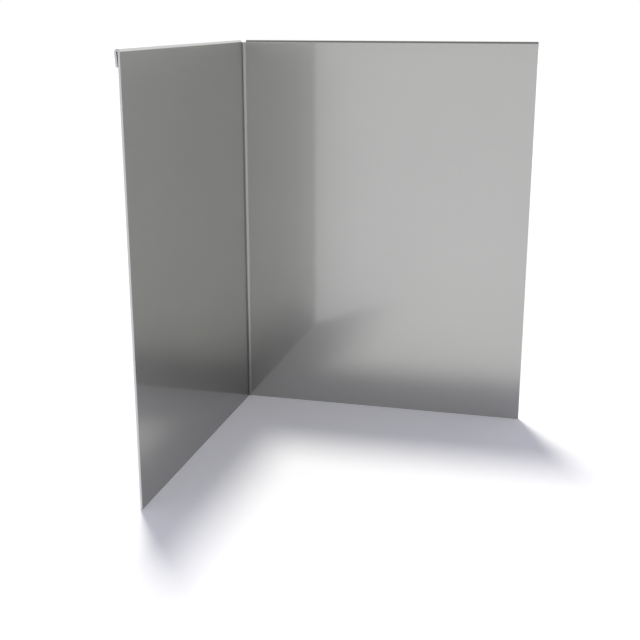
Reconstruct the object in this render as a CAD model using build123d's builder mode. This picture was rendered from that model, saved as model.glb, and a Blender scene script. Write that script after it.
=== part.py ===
from build123d import *
import os

# Roof edge corner trim: one piece of sheet metal, folded once along its upright corner,
# with a teardrop hem along the top of each leg that is turned to the outside of the corner.
# Frame in millimetres: +Z up, origin at the bottom centre of the outer box.
# One leg runs along +X from the corner and the other along -Y.

# Driving dimensions
leg = 194.0          # each leg, from the outer face of the other leg to its free edge
height = 250.0       # from the foot to the crown of the hems
sheet = 1.2          # thickness of the sheet
bend_radius = 2.0    # inside radius of the upright corner bend
hem_depth = 9.0      # from the crown of the hem to the inner edge of the tip of its return
hem_radius = 0.3     # inside radius of the loop of the hem
hem_tip_gap = 0.15   # clear space between the tip of the return and the leg

# Worked out from the driving dimensions
hem_base = height - sheet - hem_radius       # level at which the sheet starts to curl over
hem_bulge = sheet + 2 * hem_radius           # how far the hem stands out from the leg's outer face
overall = leg + hem_bulge                    # side of the outer box, seen from above
free_edge = overall / 2                      # distance of each free edge from the origin
outer_face = overall / 2 - hem_bulge         # distance of each leg's outer face from the origin
inner_face = outer_face - sheet              # distance of each leg's inner face from the origin
straight = leg - sheet - bend_radius         # flat run of each leg, from the bend to its free edge

# The two legs mirror each other across the upright plane through the corner and the origin.
diagonal = Plane(origin=(0, 0, 0), z_dir=(1, 1, 0))
# Free end of the leg that runs along +X: local x points out of the corner, local y up.
leg_end = Plane(origin=(free_edge, inner_face, 0), x_dir=(0, 1, 0), z_dir=(1, 0, 0))

with BuildPart() as corner_trim:
    # Both legs and the bend between them, up to the level at which the hems start
    with BuildSketch() as plan:
        with BuildLine():
            FilletPolyline(
                (-outer_face, -free_edge),
                (-outer_face, outer_face),
                (free_edge, outer_face),
                radius=bend_radius + sheet,
            )
            offset(amount=sheet, side=Side.RIGHT)
        make_face()
    extrude(amount=hem_base)

    # Teardrop hem: the sheet loops over outwards, and its return leans back until the tip
    # all but touches the leg. It stops at the bend, which leaves a relief notch at the corner.
    with BuildSketch(leg_end) as hem_profile:
        with BuildLine():
            loop_centre = (sheet + hem_radius, hem_base)
            loop = CenterArc(loop_centre, hem_radius, 0, 360, mode=Mode.PRIVATE)
            hem_return = ConstrainedLines(
                loop,
                (sheet + hem_tip_gap, height - hem_depth),
                selector=lambda tangents: tangents.sort_by(Axis.X)[-1],
            )
            loop_end = hem_return.vertices().sort_by(Axis.Y)[-1]
            TangentArc((sheet, hem_base), Vector(loop_end), tangent=(0, 1))
            offset(amount=sheet, side=Side.RIGHT)
        make_face()
    hem = extrude(amount=-straight)
    mirror(hem, about=diagonal)

corner_trim.part.label = "corner_trim"

os.makedirs("parts", exist_ok=True)
export_step(corner_trim.part, "parts/corner_trim.step")
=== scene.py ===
"""Looks of the roof edge corner trim: a bent and hemmed sheet, its bare metal finish and a white studio."""

import math

import bmesh
import bpy
from mathutils import Euler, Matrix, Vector


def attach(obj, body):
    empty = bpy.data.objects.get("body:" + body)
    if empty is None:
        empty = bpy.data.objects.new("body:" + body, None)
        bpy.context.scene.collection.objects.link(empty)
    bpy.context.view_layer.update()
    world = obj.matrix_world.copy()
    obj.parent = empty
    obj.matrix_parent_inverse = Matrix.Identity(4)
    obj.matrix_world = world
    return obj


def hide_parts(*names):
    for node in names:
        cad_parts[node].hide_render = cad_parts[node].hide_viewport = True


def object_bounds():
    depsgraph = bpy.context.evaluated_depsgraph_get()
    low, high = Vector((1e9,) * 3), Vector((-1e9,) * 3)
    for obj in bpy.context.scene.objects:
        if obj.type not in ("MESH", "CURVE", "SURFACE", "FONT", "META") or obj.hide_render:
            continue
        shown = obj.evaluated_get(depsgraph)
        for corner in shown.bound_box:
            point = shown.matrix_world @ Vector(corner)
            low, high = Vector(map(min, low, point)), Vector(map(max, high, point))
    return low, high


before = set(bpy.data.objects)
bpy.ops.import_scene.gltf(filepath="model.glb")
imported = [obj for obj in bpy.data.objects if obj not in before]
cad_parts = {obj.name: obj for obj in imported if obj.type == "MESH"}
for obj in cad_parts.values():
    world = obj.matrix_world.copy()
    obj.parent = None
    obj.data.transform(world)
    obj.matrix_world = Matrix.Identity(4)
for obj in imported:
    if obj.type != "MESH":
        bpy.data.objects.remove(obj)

bl_info = {
    "name": "Roof Edge Corner Trim",
    "version": (1, 0, 0),
    "blender": (4, 5, 0),
    "location": "3D View > Sidebar > Corner Trim",
    "description": "Models a folded and hemmed sheet metal corner trim and sets up a white studio around it",
    "category": "Add Mesh",
}

CAD_LOW, CAD_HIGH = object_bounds()
CAD_NODE = "corner_trim"
BODY = "root"
TOUCH = 1e-6

# Angles between faces, past which the shading breaks and past which an edge was cut
SMOOTH_ANGLE = math.radians(50)
CUT_ANGLE = math.radians(60)

# Shares and fades of the finish, and the fade of the painted shade along the bend
CLOUD_SHARE = 0.7
POLISH_FADE = 0.04
BEND_SHADE_FADE = 0.35
CUT_ROUGHNESS = 0.25
TORN_ROUGHNESS = 0.2

# Width of the camera's sensor, in millimetres
SENSOR_WIDTH = 36.0


class TrimSizes(bpy.types.PropertyGroup):
    """Sizes of the folded sheet, in metres."""

    overall: bpy.props.FloatProperty(
        name="Overall side",
        description="Side of the outer box seen from above, hems included",
        default=CAD_HIGH.x - CAD_LOW.x,
        unit="LENGTH",
    )
    height: bpy.props.FloatProperty(
        name="Height",
        description="From the foot to the crown of the hems",
        default=CAD_HIGH.z - CAD_LOW.z,
        unit="LENGTH",
    )
    sheet: bpy.props.FloatProperty(
        name="Sheet",
        description="Thickness of the sheet",
        default=0.0012,
        unit="LENGTH",
    )
    bend_radius: bpy.props.FloatProperty(
        name="Bend radius",
        description="Inside radius of the upright corner bend",
        default=0.002,
        unit="LENGTH",
    )
    hem_depth: bpy.props.FloatProperty(
        name="Hem depth",
        description="From the crown of the hem to the inner edge of the tip of its return",
        default=0.009,
        unit="LENGTH",
    )
    hem_radius: bpy.props.FloatProperty(
        name="Hem radius",
        description="Inside radius of the loop of the hem",
        default=0.0003,
        unit="LENGTH",
    )
    hem_tip_gap: bpy.props.FloatProperty(
        name="Hem tip gap",
        description="Clear space between the tip of the return and the leg",
        default=0.00015,
        unit="LENGTH",
    )
    edge_break: bpy.props.FloatProperty(
        name="Edge break",
        description="How far the cut edges are rounded off",
        default=0.0001,
        unit="LENGTH",
    )
    bend_steps: bpy.props.IntProperty(
        name="Bend steps",
        description="Facets across the upright corner bend",
        default=20,
        min=4,
    )
    loop_steps: bpy.props.IntProperty(
        name="Loop steps",
        description="Facets round the loop of the hem",
        default=32,
        min=8,
    )


class SheetFinish(bpy.types.PropertyGroup):
    """Colours and grain of the bare metal, and the colours of the painted shade and painted highlight of the
    folds.
    """

    dark_zinc: bpy.props.FloatVectorProperty(
        name="Dark zinc",
        description="Reflected colour of the duller grains",
        subtype="COLOR",
        size=3,
        min=0.0,
        max=1.0,
        default=(0.447, 0.447, 0.432),
    )
    light_zinc: bpy.props.FloatVectorProperty(
        name="Light zinc",
        description="Reflected colour of the brighter grains",
        subtype="COLOR",
        size=3,
        min=0.0,
        max=1.0,
        default=(0.483, 0.483, 0.467),
    )
    # Painted shade: this darker colour along the upright bend stands in for the dark line that the crease
    # reflects.
    bend_shade_zinc: bpy.props.FloatVectorProperty(
        name="Strained zinc",
        description="Reflected colour of the bend, where the skin of the metal was stretched",
        subtype="COLOR",
        size=3,
        min=0.0,
        max=1.0,
        default=(0.31, 0.309, 0.305),
    )
    # Painted highlight: this lighter colour on the crowns of the hems stands in for the bright reflection
    # along their tops, while their lower roughness is the polish of the folding tool.
    crown_highlight_zinc: bpy.props.FloatVectorProperty(
        name="Burnished zinc",
        description="Reflected colour of the crowns of the hems, which the folding tool polished",
        subtype="COLOR",
        size=3,
        min=0.0,
        max=1.0,
        default=(0.68, 0.678, 0.67),
    )
    # Painted shade: this near-black colour inside the hem loops stands in for the shade that falls in the
    # narrow fold.
    fold_shade_colour: bpy.props.FloatVectorProperty(
        name="Inside of the folds",
        description="Reflected colour inside the hems, where grime gathers",
        subtype="COLOR",
        size=3,
        min=0.0,
        max=1.0,
        default=(0.015, 0.015, 0.015),
    )
    edge_tint: bpy.props.FloatVectorProperty(
        name="Edge tint",
        description="How much of the glancing reflection the metal keeps",
        subtype="COLOR",
        size=3,
        min=0.0,
        max=1.0,
        default=(0.8, 0.8, 0.8),
    )
    polished_roughness: bpy.props.FloatProperty(
        name="Polished roughness",
        description="Roughness of the high spots that the rolls polished",
        default=0.06,
        subtype="FACTOR",
        min=0.0,
        max=1.0,
    )
    dull_roughness: bpy.props.FloatProperty(
        name="Dull roughness",
        description="Roughness of the pits between the high spots",
        default=0.325,
        subtype="FACTOR",
        min=0.0,
        max=1.0,
    )
    polished_level: bpy.props.FloatProperty(
        name="Polished level",
        description="Height of the grain above which a spot is polished",
        default=0.54,
        subtype="FACTOR",
        min=0.0,
        max=1.0,
    )
    grain_size: bpy.props.FloatProperty(
        name="Grain size",
        description="Width of one grain of the metal's skin",
        default=0.0001,
        unit="LENGTH",
    )
    grain_depth: bpy.props.FloatProperty(
        name="Grain depth",
        description="Height of the grain of the rolled face",
        default=0.000001,
        unit="LENGTH",
    )
    cloud_size: bpy.props.FloatProperty(
        name="Cloud size",
        description="Width of the faint clouds in the finish",
        default=0.07,
        unit="LENGTH",
    )
    cut_colour: bpy.props.FloatVectorProperty(
        name="Cut edge",
        description="Reflected colour of the bare cut edges",
        subtype="COLOR",
        size=3,
        min=0.0,
        max=1.0,
        default=(0.56, 0.56, 0.56),
    )


class StudioSettings(bpy.types.PropertyGroup):
    """Camera, light and floor of the white studio."""

    camera_place: bpy.props.FloatVectorProperty(
        name="Camera place",
        description="Place of the camera",
        subtype="XYZ",
        unit="LENGTH",
        size=3,
        default=(0.1371, -0.6003, 0.2670),
    )
    camera_turn: bpy.props.FloatProperty(
        name="Camera turn",
        description="Turn of the view from straight along +Y",
        default=math.radians(14.451),
        subtype="ANGLE",
    )
    camera_dip: bpy.props.FloatProperty(
        name="Camera dip",
        description="How far the view dips below the horizon",
        default=math.radians(16.042),
        subtype="ANGLE",
    )
    camera_lens: bpy.props.FloatProperty(
        name="Lens",
        description="Focal length on a sensor 36 mm wide, in millimetres",
        default=60.0,
        unit="CAMERA",
    )
    lamp_from: bpy.props.FloatVectorProperty(
        name="Lamp from",
        description="Direction from which the main light comes",
        subtype="XYZ",
        size=3,
        default=(-0.0442, 0.08, 0.25),
    )
    lamp_distance: bpy.props.FloatProperty(
        name="Lamp distance",
        description="How far off the main light hangs",
        default=80.0,
        unit="LENGTH",
    )
    lamp_width: bpy.props.FloatProperty(
        name="Lamp width",
        description="Width of the main light, which softens the sides of the shadow",
        default=9.6,
        unit="LENGTH",
    )
    lamp_height: bpy.props.FloatProperty(
        name="Lamp height",
        description="Height of the main light, which softens the front of the shadow",
        default=20.8,
        unit="LENGTH",
    )
    lamp_strength: bpy.props.FloatProperty(
        name="Lamp strength",
        description="Light that the main light brings to a face turned to it, in watts on a square metre",
        default=2.0,
    )
    lamp_colour: bpy.props.FloatVectorProperty(
        name="Lamp colour",
        description="Colour of the main light",
        subtype="COLOR",
        size=3,
        min=0.0,
        max=1.0,
        default=(1.0, 0.99, 0.93),
    )
    wall_colour: bpy.props.FloatVectorProperty(
        name="Wall colour",
        description="What is seen and mirrored at the horizon",
        subtype="COLOR",
        size=3,
        min=0.0,
        max=1.0,
        default=(1.0, 1.0, 1.0),
    )
    ceiling_colour: bpy.props.FloatVectorProperty(
        name="Ceiling colour",
        description="What is seen and mirrored overhead",
        subtype="COLOR",
        size=3,
        min=0.0,
        max=1.0,
        default=(0.24, 0.24, 0.245),
    )
    ceiling_lean: bpy.props.FloatProperty(
        name="Ceiling lean",
        description="How far the middle of the ceiling leans to the front, so that the wall behind is higher",
        default=math.radians(14.5),
        subtype="ANGLE",
    )
    ceiling_start: bpy.props.FloatProperty(
        name="Ceiling start",
        description="Where the walls end: 1 is the middle of the ceiling and 0 a quarter turn off",
        default=0.3,
        subtype="FACTOR",
        min=0.0,
        max=1.0,
    )
    ceiling_full: bpy.props.FloatProperty(
        name="Ceiling full",
        description="Where the ceiling is darkest: 1 is its middle and 0 a quarter turn off",
        default=0.71,
        subtype="FACTOR",
        min=0.0,
        max=1.0,
    )
    fill_colour: bpy.props.FloatVectorProperty(
        name="Fill colour",
        description="Soft light from all round, which tints the shadow",
        subtype="COLOR",
        size=3,
        min=0.0,
        max=1.0,
        default=(0.402, 0.406, 0.480),
    )
    floor_size: bpy.props.FloatProperty(
        name="Floor size",
        description="Side of the floor",
        default=16.0,
        unit="LENGTH",
    )
    floor_colour: bpy.props.FloatVectorProperty(
        name="Floor colour",
        description="Colour of the floor",
        subtype="COLOR",
        size=3,
        min=0.0,
        max=1.0,
        default=(1.0, 1.0, 1.0),
    )
    floor_glow: bpy.props.FloatProperty(
        name="Floor glow",
        description="How much the floor is lifted where it is seen or mirrored",
        default=0.097,
    )


class Signal:
    """One output of a shader tree. Arithmetic on it adds Math nodes to the tree."""

    def __init__(self, tree, socket):
        self.tree = tree
        self.socket = socket

    def maths(self, operation, first, second):
        inputs = {0: first, 1: second}
        return ShaderTree(self.tree).node("ShaderNodeMath", {"operation": operation}, inputs)

    def __add__(self, other):
        return self.maths("ADD", self, other)

    def __radd__(self, other):
        return self.maths("ADD", other, self)

    def __sub__(self, other):
        return self.maths("SUBTRACT", self, other)

    def __rsub__(self, other):
        return self.maths("SUBTRACT", other, self)

    def __mul__(self, other):
        return self.maths("MULTIPLY", self, other)

    def __rmul__(self, other):
        return self.maths("MULTIPLY", other, self)


class ShaderTree:
    """Adds nodes to a shader tree: settings first, then values or links. Gives one output or several."""

    def __init__(self, tree):
        self.tree = tree

    def node(self, kind, settings, inputs, output=0):
        made = self.tree.nodes.new(kind)
        for name, value in settings.items():
            setattr(made, name, value)
        for key, value in inputs.items():
            socket = self.socket(made.inputs, key)
            if isinstance(value, Signal):
                self.tree.links.new(value.socket, socket)
            else:
                socket.default_value = value
        if isinstance(output, tuple):
            return [Signal(self.tree, self.socket(made.outputs, name)) for name in output]
        return Signal(self.tree, self.socket(made.outputs, output)) if made.outputs else None

    @staticmethod
    def socket(sockets, key):
        if isinstance(key, int):
            return sockets[key]
        return next(s for s in sockets if key in (s.identifier, s.name))


def new_material(name):
    """An empty material and the tree that its nodes go in."""
    material = bpy.data.materials.new(name)
    material.use_nodes = True
    material.node_tree.nodes.clear()
    return material, ShaderTree(material.node_tree)


def opaque(colour):
    return (*colour, 1.0)


def mix_colours(tree, factor, first, second):
    inputs = {"Factor_Float": factor, "A_Color": first, "B_Color": second}
    return tree.node("ShaderNodeMix", {"data_type": "RGBA"}, inputs, "Result_Color")


def past(tree, value, start, fade):
    """0 below the start and 1 above it, or the other way round where the fade is negative."""
    inputs = {"Value": value, "From Min": start, "From Max": start + abs(fade)}
    if fade < 0:
        inputs.update({"To Min": 1.0, "To Max": 0.0})
    return tree.node("ShaderNodeMapRange", {"interpolation_type": "SMOOTHSTEP"}, inputs, "Result")


def painted_light_masks(tree, place, sizes):
    """Masks for painted light: painted shade along the bend, a painted highlight on the crowns of the hems
    and painted shade inside their folds. The crown mask also makes the crowns polished.
    """
    outer_face = sizes.overall / 2 - sizes.sheet - 2 * sizes.hem_radius
    bend_start = outer_face - sizes.sheet - sizes.bend_radius
    hem_base = sizes.height - sizes.sheet - sizes.hem_radius
    fade = sizes.hem_radius / 4
    right, back, up = tree.node("ShaderNodeSeparateXYZ", {}, {"Vector": place}, ("X", "Y", "Z"))
    left = -1 * right
    round_off = BEND_SHADE_FADE * sizes.bend_radius
    # Painted shade along the upright bend
    bend = past(tree, left, bend_start, round_off) * past(tree, back, bend_start, round_off)
    # Painted highlight on the crowns of the hems; the same mask also makes them polished
    crown = past(tree, up, hem_base, sizes.sheet / 2)
    # Painted shade inside the hem loops: the pocket between the leg and its return, below the loop
    outwards = tree.node("ShaderNodeMath", {"operation": "MAXIMUM"}, {0: left, 1: back})
    pocket = past(tree, outwards, outer_face - 2 * fade, fade)
    pocket = pocket * past(tree, outwards, outer_face + 2 * sizes.hem_radius + fade, -fade)
    hollow = past(tree, up, sizes.height - sizes.hem_depth, 4 * fade)
    hollow = hollow * past(tree, up, hem_base + sizes.hem_radius + fade, -fade)
    return bend, crown, pocket * hollow


def rolled_sheet_material(finish, sizes):
    """Bare grey sheet: a fine grain of polished and dull spots and faint clouds, with painted shade along the
    bend and inside the hems and a painted highlight on the crowns of the hems.
    """
    material, tree = new_material("rolled_sheet")
    place = tree.node("ShaderNodeTexCoord", {}, {}, "Object")
    clouds = tree.node(
        "ShaderNodeTexNoise", {}, {"Vector": place, "Scale": 1 / finish.cloud_size, "Detail": 3.0}, "Fac"
    )
    grain = tree.node(
        "ShaderNodeTexNoise", {}, {"Vector": place, "Scale": 1 / finish.grain_size, "Detail": 2.0}, "Fac"
    )
    dull = past(tree, grain, finish.polished_level - POLISH_FADE, -2 * POLISH_FADE)
    tone = CLOUD_SHARE * clouds + (1 - CLOUD_SHARE) * grain
    bend, crown, fold_shade = painted_light_masks(tree, place, sizes)
    colour = mix_colours(tree, tone, opaque(finish.dark_zinc), opaque(finish.light_zinc))
    # Painted shade along the bend
    colour = mix_colours(tree, bend, colour, opaque(finish.bend_shade_zinc))
    # Painted highlight on the crowns of the hems
    colour = mix_colours(tree, crown, colour, opaque(finish.crown_highlight_zinc))
    # Painted shade inside the hem loops
    colour = mix_colours(tree, fold_shade, colour, opaque(finish.fold_shade_colour))
    dull = dull * (1 - crown)
    roughness = finish.polished_roughness + (finish.dull_roughness - finish.polished_roughness) * dull
    bump = tree.node(
        "ShaderNodeBump", {}, {"Height": grain, "Strength": 1.0, "Distance": finish.grain_depth}, "Normal"
    )
    shader = tree.node(
        "ShaderNodeBsdfPrincipled",
        {},
        {
            "Base Color": colour,
            "Metallic": 1.0,
            "Roughness": roughness,
            "Specular Tint": opaque(finish.edge_tint),
            "Normal": bump,
        },
        "BSDF",
    )
    tree.node("ShaderNodeOutputMaterial", {}, {"Surface": shader})
    return material


def cut_edge_material(finish):
    """Freshly cut metal on the edges of the sheet, brighter and finely torn."""
    material, tree = new_material("cut_edge")
    place = tree.node("ShaderNodeTexCoord", {}, {}, "Object")
    tear = tree.node(
        "ShaderNodeTexNoise", {}, {"Vector": place, "Scale": 2 / finish.grain_size, "Detail": 4.0}, "Fac"
    )
    bump = tree.node(
        "ShaderNodeBump", {}, {"Height": tear, "Strength": 1.0, "Distance": 3 * finish.grain_depth}, "Normal"
    )
    shader = tree.node(
        "ShaderNodeBsdfPrincipled",
        {},
        {
            "Base Color": opaque(finish.cut_colour),
            "Metallic": 1.0,
            "Roughness": CUT_ROUGHNESS + TORN_ROUGHNESS * tear,
            "Normal": bump,
        },
        "BSDF",
    )
    tree.node("ShaderNodeOutputMaterial", {}, {"Surface": shader})
    return material


def select_edges(test):
    """In edit mode, selects only the edges whose two ends pass the test."""
    bpy.ops.mesh.select_mode(type="EDGE")
    bpy.ops.mesh.select_all(action="DESELECT")
    edited = bmesh.from_edit_mesh(bpy.context.object.data)
    for edge in edited.edges:
        edge.select_set(all(test(end.co) for end in edge.verts))
    bmesh.update_edit_mesh(bpy.context.object.data)


def apply_modifier(kind, **settings):
    """Adds a modifier to the active object and applies it."""
    modifier = bpy.context.object.modifiers.new(kind.title(), kind)
    for name, value in settings.items():
        setattr(modifier, name, value)
    bpy.ops.object.modifier_apply(modifier=modifier.name)


class FoldSheet(bpy.types.Operator):
    """Folds the sheet: two legs, the bend between them and a teardrop hem on each leg"""

    bl_idname = "mesh.corner_trim_fold"
    bl_label = "Folded sheet"

    def execute(self, context):
        sizes = context.scene.trim_sizes
        finish = context.scene.sheet_finish
        self.measure(sizes)
        bpy.ops.object.select_all(action="DESELECT")
        self.lay_first_leg()
        bpy.ops.object.mode_set(mode="EDIT")
        self.bend_second_leg(sizes)
        self.roll_hem(sizes, Vector((1, 0, 0)), Vector((0, 1, 0)))
        self.roll_hem(sizes, Vector((0, -1, 0)), Vector((-1, 0, 0)))
        self.face_inwards()
        bpy.ops.object.mode_set(mode="OBJECT")
        trim = context.object
        trim.name = "folded_sheet"
        trim.data.materials.append(rolled_sheet_material(finish, sizes))
        trim.data.materials.append(cut_edge_material(finish))
        apply_modifier(
            "SOLIDIFY", thickness=sizes.sheet, offset=-1.0, use_even_offset=True, material_offset_rim=1
        )
        self.break_cut_edges(sizes)
        bpy.ops.object.shade_smooth_by_angle(angle=SMOOTH_ANGLE)
        apply_modifier("WEIGHTED_NORMAL", mode="FACE_AREA", weight=50, keep_sharp=True)
        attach(trim, BODY)
        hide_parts(CAD_NODE)
        return {"FINISHED"}

    def measure(self, sizes):
        """Works out the places of the faces from the sizes."""
        bulge = sizes.sheet + 2 * sizes.hem_radius
        self.free_edge = sizes.overall / 2
        self.outer_face = sizes.overall / 2 - bulge
        self.inner_face = self.outer_face - sizes.sheet
        self.hem_base = sizes.height - sizes.sheet - sizes.hem_radius
        self.bend_start = sizes.bend_radius - self.inner_face
        self.straight = self.free_edge - self.bend_start

    def lay_first_leg(self):
        """The inner face of the leg along +X, from the bend to its free edge."""
        bpy.ops.mesh.primitive_plane_add(
            size=1,
            rotation=(math.radians(90), 0, 0),
            location=((self.free_edge + self.bend_start) / 2, self.inner_face, self.hem_base / 2),
        )
        bpy.ops.transform.resize(value=(self.straight, 1, self.hem_base))
        bpy.ops.object.transform_apply(location=True, rotation=True, scale=True)

    def bend_second_leg(self, sizes):
        """Spins the leg's inner upright edge round the bend, then draws it out along -Y."""
        select_edges(lambda point: abs(point.x - self.bend_start) < TOUCH)
        bpy.ops.mesh.spin(
            steps=sizes.bend_steps,
            angle=math.radians(90),
            center=(self.bend_start, -self.bend_start, 0),
            axis=(0, 0, -1),
        )
        bpy.ops.mesh.extrude_region_move(TRANSFORM_OT_translate={"value": (0, -self.straight, 0)})

    def roll_hem(self, sizes, along, outwards):
        """Rolls the top edge of one leg over to the outside, and leans its return back to the leg."""
        loop_reach = sizes.hem_radius + sizes.sheet
        drop = sizes.hem_depth - loop_reach
        inset = sizes.hem_tip_gap - sizes.hem_radius
        return_length = math.sqrt(inset**2 + drop**2 - sizes.hem_radius**2)
        lean = math.atan2(drop, inset) - math.atan2(return_length, sizes.hem_radius)
        up = Vector((0, 0, 1))
        centre = (self.outer_face + sizes.hem_radius) * outwards + self.hem_base * up
        start = self.bend_start
        select_edges(
            lambda point: abs(point.z - self.hem_base) < TOUCH
            and abs(point.dot(outwards) - self.inner_face) < TOUCH
            and point.dot(along) > start - TOUCH
        )
        bpy.ops.mesh.spin(
            steps=sizes.loop_steps,
            angle=math.pi + lean,
            center=centre,
            axis=outwards.cross(up),
        )
        fall = -math.sin(lean) * outwards - math.cos(lean) * up
        bpy.ops.mesh.extrude_region_move(TRANSFORM_OT_translate={"value": return_length * fall})

    def face_inwards(self):
        """Turns all faces of the sheet to the inside of the corner."""
        bpy.ops.mesh.select_all(action="SELECT")
        bpy.ops.mesh.remove_doubles(threshold=TOUCH)
        bpy.ops.mesh.normals_make_consistent(inside=False)
        edited = bmesh.from_edit_mesh(bpy.context.object.data)
        largest = max(edited.faces, key=lambda face: face.calc_area())
        if largest.normal.dot(Vector((1, -1, 0))) < 0:
            bpy.ops.mesh.flip_normals()

    def break_cut_edges(self, sizes):
        """Rounds off the outer edges that the shears left."""
        bpy.ops.object.mode_set(mode="EDIT")
        bpy.ops.mesh.select_mode(type="EDGE")
        bpy.ops.mesh.select_all(action="DESELECT")
        edited = bmesh.from_edit_mesh(bpy.context.object.data)
        for edge in edited.edges:
            sharp = edge.is_manifold and edge.calc_face_angle_signed() > CUT_ANGLE
            edge.select_set(sharp)
        bmesh.update_edit_mesh(bpy.context.object.data)
        bpy.ops.mesh.bevel(offset=sizes.edge_break, segments=2, affect="EDGES", clamp_overlap=True)
        bpy.ops.object.mode_set(mode="OBJECT")


class SetStage(bpy.types.Operator):
    """Sets up the white floor, the main light, the soft light from all round and the camera"""

    bl_idname = "scene.corner_trim_stage"
    bl_label = "White studio"

    def execute(self, context):
        studio = context.scene.studio_settings
        bpy.ops.object.select_all(action="DESELECT")
        self.lay_floor(studio)
        self.hang_lamp(studio)
        self.fill_world(context.scene, studio)
        self.place_camera(context.scene, studio)
        context.scene.view_settings.view_transform = "Standard"
        return {"FINISHED"}

    def lay_floor(self, studio):
        """A matt white floor with a faint glow where it is seen or mirrored, which lifts its shadow."""
        bpy.ops.mesh.primitive_plane_add(size=studio.floor_size)
        floor = bpy.context.object
        floor.name = "floor"
        material, tree = new_material("white_floor")
        colour = opaque(studio.floor_colour)
        matt = tree.node("ShaderNodeBsdfDiffuse", {}, {"Color": colour}, "BSDF")
        strength = studio.floor_glow * self.shown(tree)
        glow = tree.node("ShaderNodeEmission", {}, {"Color": colour, "Strength": strength}, "Emission")
        shader = tree.node("ShaderNodeAddShader", {}, {0: matt, 1: glow}, "Shader")
        tree.node("ShaderNodeOutputMaterial", {}, {"Surface": shader})
        floor.data.materials.append(material)

    @staticmethod
    def shown(tree):
        """1 where the camera looks, also by way of metal or glass, and 0 on rays that only bring light."""
        rays = ("Is Camera Ray", "Is Glossy Ray", "Is Transmission Ray")
        seen, mirrored, through = tree.node("ShaderNodeLightPath", {}, {}, rays)
        indirect = tree.node("ShaderNodeMath", {"operation": "MAXIMUM"}, {0: mirrored, 1: through})
        return tree.node("ShaderNodeMath", {"operation": "MAXIMUM"}, {0: seen, 1: indirect})

    def hang_lamp(self, studio):
        """A wide lamp so far off that its shadows run parallel. The metal doesn't mirror it."""
        away = Vector(studio.lamp_from).normalized()
        turn = away.to_track_quat("Z", "Y").to_euler()
        bpy.ops.object.light_add(type="AREA", location=studio.lamp_distance * away, rotation=turn)
        bpy.context.object.visible_glossy = False
        lamp = bpy.context.object.data
        lamp.shape = "ELLIPSE"
        lamp.size = studio.lamp_width
        lamp.size_y = studio.lamp_height
        lamp.energy = studio.lamp_strength * math.pi * studio.lamp_distance**2
        lamp.color = studio.lamp_colour

    def fill_world(self, scene, studio):
        """White walls and a darker ceiling where they are seen or mirrored, and soft fill light elsewhere."""
        world = bpy.data.worlds.new("white_studio")
        world.use_nodes = True
        world.node_tree.nodes.clear()
        tree = ShaderTree(world.node_tree)
        direction = tree.node("ShaderNodeTexCoord", {}, {}, "Generated")
        middle = Vector((0, -math.sin(studio.ceiling_lean), math.cos(studio.ceiling_lean)))
        nearness = tree.node(
            "ShaderNodeVectorMath", {"operation": "DOT_PRODUCT"}, {0: direction, 1: middle}, "Value"
        )
        overhead = past(tree, nearness, studio.ceiling_start, studio.ceiling_full - studio.ceiling_start)
        walls = mix_colours(tree, overhead, opaque(studio.wall_colour), opaque(studio.ceiling_colour))
        colour = mix_colours(tree, self.shown(tree), opaque(studio.fill_colour), walls)
        shader = tree.node("ShaderNodeBackground", {}, {"Color": colour, "Strength": 1.0}, "Background")
        tree.node("ShaderNodeOutputWorld", {}, {"Surface": shader})
        scene.world = world

    def place_camera(self, scene, studio):
        turn = Euler((math.radians(90) - studio.camera_dip, 0, studio.camera_turn), "XYZ")
        bpy.ops.object.camera_add(location=studio.camera_place, rotation=turn)
        camera = bpy.context.object
        camera.data.lens = studio.camera_lens
        camera.data.sensor_width = SENSOR_WIDTH
        scene.camera = camera


class CornerTrimPanel(bpy.types.Panel):
    """Lists the steps and sizes of the corner trim"""

    bl_idname = "VIEW3D_PT_corner_trim"
    bl_label = "Corner Trim"
    bl_space_type = "VIEW_3D"
    bl_region_type = "UI"
    bl_category = "Corner Trim"

    def draw(self, context):
        for step in (FoldSheet, SetStage):
            self.layout.operator(step.bl_idname)
        for group in (context.scene.trim_sizes, context.scene.sheet_finish, context.scene.studio_settings):
            box = self.layout.box()
            for name in group.bl_rna.properties.keys():
                if name not in ("rna_type", "name"):
                    box.prop(group, name)


CLASSES = (TrimSizes, SheetFinish, StudioSettings, FoldSheet, SetStage, CornerTrimPanel)


def register():
    for cls in CLASSES:
        bpy.utils.register_class(cls)
    bpy.types.Scene.trim_sizes = bpy.props.PointerProperty(type=TrimSizes)
    bpy.types.Scene.sheet_finish = bpy.props.PointerProperty(type=SheetFinish)
    bpy.types.Scene.studio_settings = bpy.props.PointerProperty(type=StudioSettings)


def unregister():
    del bpy.types.Scene.studio_settings
    del bpy.types.Scene.sheet_finish
    del bpy.types.Scene.trim_sizes
    for cls in reversed(CLASSES):
        bpy.utils.unregister_class(cls)


def main():
    register()
    bpy.ops.mesh.corner_trim_fold()
    bpy.ops.scene.corner_trim_stage()


if __name__ == "__main__":
    main()
